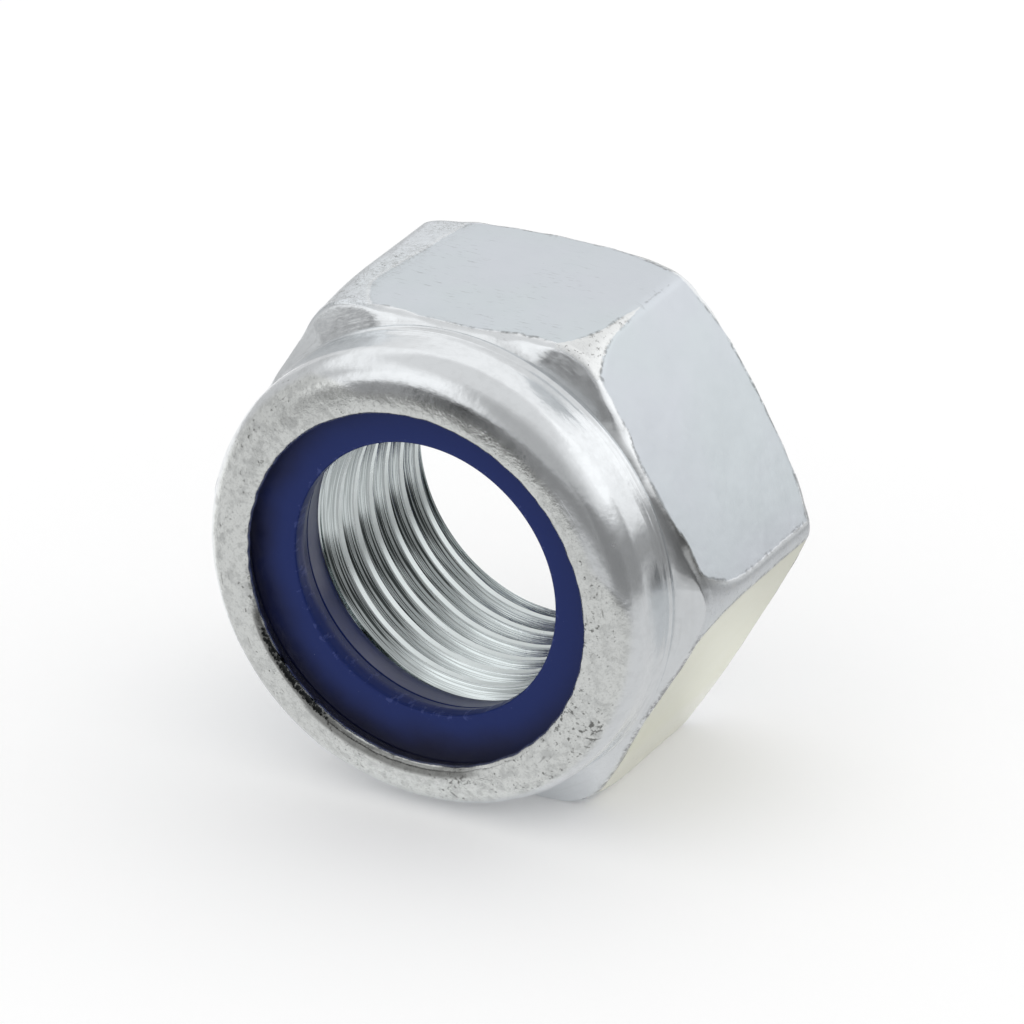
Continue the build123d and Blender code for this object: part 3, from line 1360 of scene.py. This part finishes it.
    def outline(self) -> list[Point]:
        """Give the whole closed outline of the turned blank, before the hexagon is pressed.

        Returns:
            The points.
        """
        bore, entry = self.bore_radius, (self.entry_radius, self.seat_floor_y)
        ring_edge = (self.bearing_radius - self.bearing_round, 0.0)
        entry_end = (bore, self.seat_floor_y + self.entry_depth)
        sink = (bore, -self.countersink_depth)
        return join_outline([
            stretch(sink, (self.countersink_radius - 0.06, -0.06), 4),
            stretch((self.countersink_radius + 0.06, 0.0), ring_edge, 5),
            self.outside(),
            self.foot_bead(),
            self.lip_outline(),
            [(self.seat_radius, self.lip_wall_end[1] + 0.2)],
            [(self.seat_radius, self.seat_floor_y)],
            stretch(entry, entry_end, 2),
            stretch(entry_end, sink, 10),
        ])

    def corner_rounding(self, y: np.ndarray) -> np.ndarray:
        """Give the rounding of the hexagon's corners, which grows towards the collar."""
        flare = np.clip((self.foot_y + 5.0 - y) / 4.4, 0.0, 1.0) ** 3
        return self.corner_round_rear + (self.corner_round_front - self.corner_round_rear) * flare

    def hexagon_radius(self, angle: np.ndarray, y: np.ndarray) -> np.ndarray:
        """Give the distance of the hexagon's side from the axis.

        Args:
            angle: Angle round the axis, 0 at a corner.
            y: Place along the axis, which sets how round the corners are.

        Returns:
            The distances.
        """
        half, twelfth = self.across_flats / 2.0, SIXTH_TURN / 2.0
        rounding = self.corner_rounding(y)
        off = from_corner(angle)
        side = half / np.cos(twelfth - off)
        reach = (half - rounding) / math.cos(twelfth)
        inside = np.maximum(rounding**2 - (reach * np.sin(off)) ** 2, 0.0)
        corner = reach * np.cos(off) + np.sqrt(inside)
        touch = twelfth - np.arctan((half - rounding) * math.tan(twelfth) / half)
        return np.where(off < touch, corner, side)

    def press_hexagon(self, piece: bpy.types.Object) -> Survey:
        """Press the six flats into the turned blank and leave small forging marks.

        Args:
            piece: The turned blank, whose points are moved.

        Returns:
            Where the points lie.
        """
        points = places_of(piece)
        angle = np.arctan2(points[:, 2], points[:, 0])
        turned = np.hypot(points[:, 0], points[:, 2])
        y, slack = points[:, 1], 0.05
        outer = (turned > self.bearing_radius - slack) & (y > self.foot_y - slack)
        angle = angle - self.corner_crowding * np.sin(6.0 * angle) / 6.0
        blank = np.stack([turned * np.cos(angle), y, turned * np.sin(angle)], axis=1)
        side = self.hexagon_radius(angle, y)
        y = y + self.shoulder_drop(turned, side, angle) * smooth_step(y, *self.facet_y) * outer
        blend = self.edge_width(angle, y) * (1.0 + self.edge_ripple.at(blank))
        radius = np.where(outer, smooth_min(turned, side, blend), turned)
        on_flat = smooth_step(radius, self.across_flats / 2.0 - 0.5, self.across_flats / 2.0 - 0.1) * outer
        radius = radius + self.flat_ripple.at(blank) * on_flat
        radius = radius + self.crimp_marks(blank, radius, angle, y)
        points = np.stack([radius * np.cos(angle), y, radius * np.sin(angle)], axis=1)
        lip = smooth_step(y, 1.1 - self.height, 0.3 - self.height) * smooth_step(radius, 10.6, 9.6)
        lip = lip * (radius > self.lip_hole_radius - 0.5)
        points[:, 0] += self.lip_hole_shift[0] * lip
        points[:, 2] += self.lip_hole_shift[1] * lip
        put_places(piece, points)
        return Survey(angle, y, radius, turned, side, blend)

    def edge_width(self, angle: np.ndarray, y: np.ndarray) -> np.ndarray:
        """Give the width of the rounded edges round the flats.

        Args:
            angle: Angles round the axis, 0 at a corner.
            y: Places along the axis.

        Returns:
            The widths.
        """
        corner = smooth_step(np.cos(6.0 * angle), -0.2, 0.9)
        at_front = self.front_blend + (self.corner_blend - self.front_blend) * corner
        return self.edge_blend + (at_front - self.edge_blend) * smooth_step(y, *self.front_y)

    def crimp_marks(self, blank: np.ndarray, radius: np.ndarray, angle: np.ndarray,
                    y: np.ndarray) -> np.ndarray:
        """Give the small unevenness of the crimped collar and of its lip.

        Args:
            blank: Places on the turned blank.
            radius: Distances from the axis.
            angle: Angles round the axis.
            y: Places along it.

        Returns:
            What is added to the distances.
        """
        foot, top, hole = self.foot_y, -self.height, self.lip_hole_radius
        away = degrees_from(angle, self.collar_swell_deg)
        on_collar = smooth_step(y, foot, foot - 2.0) * smooth_step(radius, 10.3, 11.2)
        swell = self.collar_swell * hump(away, 0.0, self.collar_swell_width_deg) * on_collar
        on_collar = smooth_step(y, foot, foot - 0.8) * smooth_step(radius, 10.4, 10.8)
        by_hole = smooth_step(y, top + 1.0, top + 0.6) * smooth_step(radius, hole + 0.7, hole + 0.3)
        by_hole = by_hole * (radius > hole - 0.5)
        return swell + self.collar_ripple.at(blank) * on_collar + self.lip_hole_ripple.at(blank) * by_hole

    def thread_ridge(self) -> bpy.types.Object:
        """Model the shape that the thread leaves: one long ridge wound round the axis.

        Returns:
            The closed ridge, which is cut out of the body.
        """
        pitch, root, soft = self.thread_pitch, self.thread_root_flat / 2.0, 0.03
        inner, outer = self.bore_radius - 0.3, self.thread_major_radius
        wide = root + (outer - inner) * math.tan(math.radians(self.thread_flank_deg))
        first = self.thread_crest_y + pitch / 2.0
        first -= pitch * math.ceil((first - self.seat_floor_y + wide) / pitch)
        turns = math.ceil((pitch - first) / pitch)
        half = [(inner, wide), (outer - 0.05, root + soft), (outer, root - soft)]
        section = [(r, first + d) for r, d in half] + [(r, first - d) for r, d in reversed(half)]
        ridge = chain_of_points("thread_ridge", section, closed=True)
        bpy.ops.transform.rotate(value=math.radians(self.thread_crest_angle_deg), orient_axis="Y",
                                 center_override=(0, 0, 0))
        bpy.ops.object.mode_set(mode="OBJECT")
        make_active(ridge)
        screw = ridge.modifiers.new("wind", "SCREW")
        screw.axis = "Y"
        screw.screw_offset = pitch * MM
        screw.angle = math.tau
        screw.iterations = turns
        screw.steps = screw.render_steps = self.thread_steps
        bpy.ops.object.modifier_apply(modifier=screw.name)
        bpy.ops.object.mode_set(mode="EDIT")
        bpy.ops.mesh.select_all(action="SELECT")
        bpy.ops.mesh.fill_holes(sides=len(section))
        close_and_face_out()
        return ridge

    def hexagon_masks(self, piece: bpy.types.Object, lie: Survey) -> None:
        """Keep on the mesh where the flats lie and where their edges are worn or rough.

        Args:
            piece: The pressed and threaded body.
            lie: Where its points lie.
        """
        angle, y, proud = lie.angle, lie.y, lie.turned - lie.side
        half, twelfth = self.across_flats / 2.0, SIXTH_TURN / 2.0
        outer = (lie.radius > 10.9) & (y > self.foot_y)
        worn, rough = self.worn_corner.share(angle), self.rough_corner.share(angle)
        to_corner = half * (math.tan(twelfth) - np.tan(twelfth - from_corner(angle)))
        rounded = self.corner_rounding(y) * math.tan(twelfth) + 0.08
        narrower = 1.6 * self.low_corner.share(angle) + worn * (0.34 + 0.3 * smooth_step(y, -8.0, -5.0))
        wider = rough * (0.6 + 0.12 * np.maximum(y + 9.3, 0.0))
        past = to_corner - rounded + narrower - wider
        reach = lie.side + 0.8 * lie.blend
        from_front = y - self.shoulder_y(reach) - self.shoulder_drop(reach, lie.side, angle)
        from_rear = self.chamfer_y(lie.side + 0.3) - y
        inset = np.where(outer, np.minimum(past, np.minimum(from_front, from_rear)), -1.0)
        keep_mask(piece, Mask.INSET, np.clip(inset, -1.0, 1.0))

        front, rear = smooth_step(proud, -0.18, 0.0), smooth_step(proud, -0.12, 0.1)
        at_rim = np.where(y < -self.height / 2.0, front, rear)
        on_land = smooth_step(past, 0.1, -0.1) * at_rim * outer
        front_half = smooth_step(y, -4.5, -8.5)
        keep_mask(piece, Mask.WORN, on_land * (0.3 + 0.7 * worn * front_half) * (1.0 - rough))
        by_land = smooth_step(past, 0.9, -0.2) * at_rim * outer
        lower = degrees_from(angle, 0.0) < 20.0
        keep_mask(piece, Mask.ROUGH, by_land * np.maximum(rough, 0.35 * lower))
        keep_mask(piece, Mask.STRAW_TINT_AND_REFLECTION, self.straw_flat.share(angle))

    def collar_masks(self, piece: bpy.types.Object, lie: Survey) -> None:
        """Keep on the mesh where the collar, the lip, the dark band along its inner edge and the thread lie.

        Args:
            piece: The pressed and threaded body.
            lie: Where its points lie.
        """
        angle, y, radius = lie.angle, lie.y, lie.radius
        outside = radius > self.lip_hole_radius - 0.1
        past_hole = radius - self.lip_hole_radius
        black_core = smooth_step(past_hole, 0.45, 0.2) * smooth_step(past_hole, 0.012, 0.03)
        grey_tail = smooth_step(past_hole, 0.72, 0.45) * smooth_step(past_hole, 0.03, 0.07)
        grey_tail = 0.45 * grey_tail * self.lip_edge_grey_sector.share(angle)
        at_front = y < -self.height + 0.38
        keep_mask(piece, Mask.LIP_EDGE_DARK, np.maximum(black_core * self.lip_edge_black_sector.share(angle), grey_tail) * at_front)
        keep_mask(piece, Mask.COLLAR, smooth_step(y, self.foot_y + 0.6, self.foot_y - 0.2) * outside)
        lip_end = 11.4 - 1.2 * self.bright_lip.share(angle)
        keep_mask(piece, Mask.LIP, smooth_step(radius, lip_end, lip_end - 0.35) * (y < -14.0) * outside)
        in_bore = radius < self.thread_major_radius + 0.3
        keep_mask(piece, Mask.THREAD, in_bore * smooth_step(y, self.seat_floor_y - 0.1, self.seat_floor_y))

    def build(self) -> bpy.types.Object:
        """Build, cut and dress the body.

        Returns:
            The finished piece, in its place.
        """
        piece = turn_solid("steel_body", self.outline(), self.steps)
        cut_away(piece, self.thread_ridge())
        make_active(piece)
        bpy.ops.object.mode_set(mode="EDIT")
        close_and_face_out()
        lie = self.press_hexagon(piece)
        self.hexagon_masks(piece, lie)
        self.collar_masks(piece, lie)
        shade(piece, 35.0)
        piece.data.materials.clear()
        piece.data.materials.append(self.finish.material())
        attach(piece, "root")
        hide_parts("nut_body")
        return piece


@dataclass
class NylonRing:
    """Locking ring of nylon, held behind the lip, with a plain hole that flares inwards.

    Attributes:
        outer_radius: Outer radius.
        front_y: Place of its front face along the axis.
        rear_y: Place of its rear face.
        hole_radius: Radius of the hole, where it grips the bolt.
        hole_round: Rounding of the hole's front edge.
        land: Length of the hole's straight part.
        crease_radius: Radius of the crease where the hole starts to flare.
        crease_depth: Distance from the front face to the crease.
        crease_cut: Depth of the crease's fine groove.
        rear_radius: Radius of the hole at the rear.
        rear_round: Rounding of the hole's rear edge.
        steps: Segments round the axis.
        finish: Finish of the ring.
    """

    outer_radius: float = 10.3
    front_y: float = -15.0
    rear_y: float = -11.35
    hole_radius: float = 7.0
    hole_round: float = 0.12
    land: float = 0.8
    crease_radius: float = 7.3
    crease_depth: float = 1.7
    crease_cut: float = 0.14
    rear_radius: float = 7.75
    rear_round: float = 0.1
    steps: int = 360
    finish: BlueNylon = field(default_factory=BlueNylon)

    def outline(self) -> list[Point]:
        """Give the closed outline of the ring.

        Returns:
            The points.
        """
        front, hole, edge = self.front_y, self.hole_radius, self.hole_round
        crease, crease_y = self.crease_radius, front + self.crease_depth
        groove = crease + self.crease_cut
        return join_outline([
            stretch((self.outer_radius, front), (hole + edge, front), 8),
            arc((hole + edge, front + edge), edge, -90.0, -180.0, 4),
            stretch((hole, front + edge), (hole, front + self.land), 3),
            stretch((hole, front + self.land), (crease - 0.02, crease_y - 0.08), 3),
            [(groove, crease_y - 0.03), (groove, crease_y + 0.03)],
            stretch((crease + 0.01, crease_y + 0.08), (self.rear_radius, self.rear_y - self.rear_round), 5),
            [(self.rear_radius + self.rear_round, self.rear_y), (self.outer_radius, self.rear_y)],
        ])

    def build(self) -> bpy.types.Object:
        """Build and dress the ring.

        Returns:
            The finished piece, in its place.
        """
        piece = turn_solid("nylon_insert", self.outline(), self.steps)
        shade(piece, 40.0)
        piece.data.materials.clear()
        piece.data.materials.append(self.finish.material())
        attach(piece, "root")
        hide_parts("nylon_ring")
        return piece


# ---------------------------------------------------------------- studio


@dataclass(frozen=True)
class Card:
    """A curved card that stands round the nut and shows only in its metal.

    Attributes:
        name: Name of the card.
        turns_deg: Azimuths of its ends, from -Y towards +X.
        heights: Heights of the lower and upper edges.
        distance: Distance from the nut.
        tone: Brightness of the card.
        end_fades_deg: Azimuths over which the ends fade out.
        edge_fades: Heights over which the lower and upper edges fade out.
    """

    name: str
    turns_deg: Span
    heights: Span
    distance: float
    tone: float
    end_fades_deg: Span
    edge_fades: Span

    def cover(self, bench: NodeBench, axes: Sequence[bpy.types.NodeSocket]) -> bpy.types.NodeSocket:
        """Give how much of the card is there, from its height."""
        (bottom, top), (rise, fall) = self.heights, self.edge_fades
        return bench.times(bench.band(axes[2], bottom - 0.01, bottom + rise),
                           bench.band(axes[2], top, top - fall))

    def mesh(self) -> bpy.types.Object:
        """Sweep an upright line round the nut.

        Returns:
            The bare card.
        """
        card = lone_point()
        centre = Vector((0.0, PIVOT_Y, 0.0)) * MM
        start, end = self.turns_deg
        corner = centre + heading(start, 0.0) * self.distance * MM
        corner.z = self.heights[0] * MM
        bpy.ops.transform.translate(value=corner)
        bpy.ops.mesh.spin(steps=48, angle=math.radians(start - end), center=centre, axis=(0, 0, 1))
        bpy.ops.mesh.select_all(action="SELECT")
        tall = (self.heights[1] - self.heights[0]) * MM
        bpy.ops.mesh.extrude_region_move(TRANSFORM_OT_translate={"value": (0, 0, tall)})
        bpy.ops.object.mode_set(mode="OBJECT")
        return card


@dataclass(frozen=True)
class Mat:
    """A round sheet that lies level, below or above the nut, and shows only in its metal.

    Attributes:
        name: Name of the mat.
        turns_deg: Azimuths of its ends, from -Y towards +X.
        reach: Distances from the nut at which the mat starts and ends.
        height: Height at which it lies.
        tone: Brightness of the mat.
        end_fades_deg: Azimuths over which the ends fade out.
        edge_fades: Distances over which the inner and outer edges fade out.
    """

    name: str
    turns_deg: Span
    reach: Span
    height: float
    tone: float
    end_fades_deg: Span
    edge_fades: Span

    def cover(self, bench: NodeBench, axes: Sequence[bpy.types.NodeSocket]) -> bpy.types.NodeSocket:
        """Give how much of the mat is there, from the distance to the nut.

        Args:
            bench: Bench of the mat's material.
            axes: The three parts of a place in millimetres.

        Returns:
            The share.
        """
        away = bench.math("SUBTRACT", axes[1], PIVOT_Y)
        distance = bench.math("SQRT", bench.plus(bench.times(axes[0], axes[0]), bench.times(away, away)))
        (inner, outer), (rise, fall) = self.reach, self.edge_fades
        return bench.times(bench.band(distance, inner, inner + rise),
                           bench.band(distance, outer, outer - fall))

    def mesh(self) -> bpy.types.Object:
        """Lay a round sheet.

        Returns:
            The bare mat.
        """
        bpy.ops.mesh.primitive_circle_add(vertices=96, radius=self.reach[1] * MM, fill_type="NGON")
        bpy.ops.object.mode_set(mode="EDIT")
        bpy.ops.mesh.select_all(action="SELECT")
        bpy.ops.transform.translate(value=Vector((0.0, PIVOT_Y, self.height)) * MM)
        bpy.ops.object.mode_set(mode="OBJECT")
        return bpy.context.object


@dataclass(frozen=True)
class Lamp:
    """A soft round lamp, aimed at the nut.

    Attributes:
        name: Name of the lamp.
        turn_deg: Azimuth, from -Y towards +X.
        rise_deg: Height above the horizon.
        size: Width of its face.
        power: Radiance of its face.
    """

    name: str
    turn_deg: float
    rise_deg: float
    size: float
    power: float


@dataclass
class Studio:
    """Pale floor, soft light and the camera.

    Attributes:
        turn_deg: Azimuth of the camera, from -Y towards +X.
        rise_deg: Height of the camera above the horizon.
        roll_deg: Turn of the camera about its own line of sight.
        distance: Distance of the camera from the aim.
        aim: Point that the view is built round.
        aside: Shift of the aim along the camera's right, and up.
        lens: Focal length.
        sensor: Width of the sensor.
        floor_z: Height of the floor.
        floor_radius: Radius of the floor.
        floor_tone: Brightness of the floor.
        floor_glow: What is added to it where it is seen or mirrored.
        lamp_distance: Distance of the lamps from the aim.
        lamps: The lamps.
        props: Cards and mats round the nut.
    """

    turn_deg: float = 29.0048
    rise_deg: float = 25.8086
    roll_deg: float = -0.8863
    distance: float = 446.0
    aim: tuple[float, float, float] = (0.0, PIVOT_Y, 0.0)
    aside: Point = (-0.798, -0.4973)
    lens: float = 329.06
    sensor: float = 36.0
    floor_z: float = -12.0
    floor_radius: float = 300.0
    floor_tone: float = 0.9
    floor_glow: float = 0.1
    lamp_distance: float = 300.0
    lamps: tuple[Lamp, ...] = (
        Lamp("side_lamp", 122.0, 38.0, 300.0, 0.16),
        Lamp("front_lamp", -28.0, 24.0, 120.0, 0.08),
    )
    props: tuple[Card | Mat, ...] = (
        Card("left_strip", (-40.0, -17.0), (-11.9, 15.5), 88.0, 0.25, (5.0, 6.0), (2.0, 3.0)),
        Card("dark_strip", (-25.0, -3.0), (-11.0, 12.5), 66.0, 0.03, (7.0, 7.0), (2.0, 3.0)),
        Card("middle_strip", (-12.0, 30.0), (-10.0, 11.0), 57.0, 0.24, (8.0, 8.0), (2.0, 3.0)),
        Card("right_strip", (22.0, 74.0), (-11.9, 17.0), 49.0, 0.225, (8.0, 10.0), (2.0, 4.0)),
        Card("right_card", (60.0, 128.0), (-11.9, 25.0), 64.0, 0.27, (8.0, 10.0), (0.1, 8.0)),
        Card("shade_card", (-16.0, 90.0), (8.0, 220.0), 100.0, 0.46, (12.0, 70.0), (1.0, 140.0)),
        Card("left_card", (-128.0, -40.0), (-11.9, 80.0), 110.0, 0.585, (12.0, 10.0), (0.1, 30.0)),
        Card("rear_left_card", (-178.0, -118.0), (-11.9, 90.0), 112.0, 0.69, (10.0, 10.0), (0.1, 80.0)),
        Card("low_side_card", (112.0, 158.0), (-11.9, 6.5), 76.0, 0.27, (8.0, 8.0), (0.1, 5.0)),
        Card("left_gap_card", (-47.0, -33.0), (-11.9, 7.0), 89.0, 0.38, (4.0, 4.0), (0.1, 3.0)),
        Mat("front_mat", (-90.0, 130.0), (8.0, 120.0), -11.9, 0.67, (14.0, 14.0), (3.5, 6.0)),
        Mat("side_mat", (100.0, 178.0), (14.0, 290.0), -11.85, 0.66, (14.0, 12.0), (8.0, 6.0)),
        Mat("ceiling", (-200.0, 200.0), (-30.0, 260.0), 230.0, 0.76, (10.0, 10.0), (20.0, 120.0)),
    )

    def camera(self) -> bpy.types.Object:
        """Set the camera.

        Returns:
            The camera, which is the scene's own.
        """
        roll = math.radians(self.roll_deg)
        back = heading(self.turn_deg, self.rise_deg)
        level = heading(self.turn_deg + 90.0, 0.0)
        upright = back.cross(level)
        right = math.cos(roll) * level + math.sin(roll) * upright
        up = math.cos(roll) * upright - math.sin(roll) * level
        eye = Vector(self.aim) + back * self.distance - right * self.aside[0] - up * self.aside[1]
        bpy.ops.object.camera_add()
        camera = bpy.context.object
        camera.name = "camera"
        camera.data.sensor_width = self.sensor
        camera.data.lens = self.lens
        camera.data.clip_start, camera.data.clip_end = 0.01, 10.0
        pose = Matrix((right, up, back)).transposed().to_4x4()
        pose.translation = eye * MM
        camera.matrix_world = pose
        bpy.context.scene.camera = camera
        return camera

    def floor(self) -> bpy.types.Object:
        """Lay the floor.

        Returns:
            The floor, which isn't part of the nut.
        """
        deselect_all()
        bpy.ops.mesh.primitive_circle_add(vertices=96, radius=self.floor_radius * MM, fill_type="NGON",
                                          location=(0.0, PIVOT_Y * MM, self.floor_z * MM))
        floor = bpy.context.object
        floor.name = "floor"
        material, bench, shader = new_material("white_floor")
        shader.inputs["Base Color"].default_value = (*[self.floor_tone] * 3, 1.0)
        shader.inputs["Roughness"].default_value = 0.9
        shader.inputs["Specular IOR Level"].default_value = 0.0
        shader.inputs["Emission Color"].default_value = WHITE
        rays = bench.node("ShaderNodeLightPath", {}).outputs
        seen = bench.most(rays["Is Camera Ray"], rays["Is Glossy Ray"], rays["Is Transmission Ray"])
        bench.connect(shader, {"Emission Strength": bench.times(seen, self.floor_glow)})
        floor.data.materials.append(material)
        return floor

    def world(self) -> None:
        """Fill the room with even white light."""
        world = bpy.data.worlds.new("studio")
        world.use_nodes = True
        bpy.context.scene.world = world
        background = world.node_tree.nodes["Background"]
        background.inputs["Color"].default_value = WHITE
        background.inputs["Strength"].default_value = 1.0

    def hang(self, lamp: Lamp) -> None:
        """Hang one lamp, aimed at the nut.

        Args:
            lamp: Its place, size and power.
        """
        back = heading(lamp.turn_deg, lamp.rise_deg)
        bpy.ops.object.light_add(type="AREA")
        light = bpy.context.object
        light.name = lamp.name
        light.data.shape = "DISK"
        light.data.size = lamp.size * MM
        light.data.energy = lamp.power * math.pi * math.pi * (lamp.size * MM / 2.0) ** 2
        light.location = (Vector(self.aim) + back * self.lamp_distance) * MM
        light.rotation_mode = "QUATERNION"
        light.rotation_quaternion = back.to_track_quat("Z", "Y")

    def prop(self, prop: Card | Mat) -> bpy.types.Object:
        """Place one card or mat, seen in the metal only.

        Args:
            prop: Its place, size and tone.

        Returns:
            The card or mat, which isn't part of the nut.
        """
        deselect_all()
        sheet = prop.mesh()
        sheet.name = sheet.data.name = prop.name
        made = bpy.data.materials.new(prop.name)
        made.use_nodes = True
        bench = NodeBench(made.node_tree)
        made.node_tree.nodes.remove(made.node_tree.nodes["Principled BSDF"])
        axes = bench.parts(bench.place())
        turn = bench.math("ARCTAN2", axes[0], bench.math("SUBTRACT", PIVOT_Y, axes[1]))
        first, last = (math.radians(a) for a in prop.turns_deg)
        rise, fall = (math.radians(a) for a in prop.end_fades_deg)
        share = bench.times(bench.band(turn, first, first + rise), bench.band(turn, last, last - fall),
                            prop.cover(bench, axes))
        glow = bench.node("ShaderNodeEmission", {"Color": WHITE, "Strength": prop.tone})
        clear = bench.node("ShaderNodeBsdfTransparent", {})
        mix = bench.node("ShaderNodeMixShader", {0: share, 1: clear.outputs[0], 2: glow.outputs[0]})
        bench.connect(made.node_tree.nodes["Material Output"], {"Surface": mix.outputs[0]})
        sheet.data.materials.append(made)
        sheet.visible_camera = sheet.visible_diffuse = sheet.visible_shadow = False
        return sheet

    def build(self) -> None:
        """Set up the camera, the floor and the light."""
        self.camera()
        self.floor()
        self.world()
        for prop in self.props:
            self.prop(prop)
        for lamp in self.lamps:
            self.hang(lamp)
        bpy.context.scene.view_settings.view_transform = "Standard"


def main() -> None:
    """Build the nut in its frame, dress it and set the studio."""
    logging.basicConfig(level=logging.INFO, format="%(name)s: %(message)s")
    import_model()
    for part in (NutBody(), NylonRing()):
        piece = part.build()
        LOG.info("%s: %d faces", piece.name, len(piece.data.polygons))
    Studio().build()


if __name__ == "__main__":
    main()
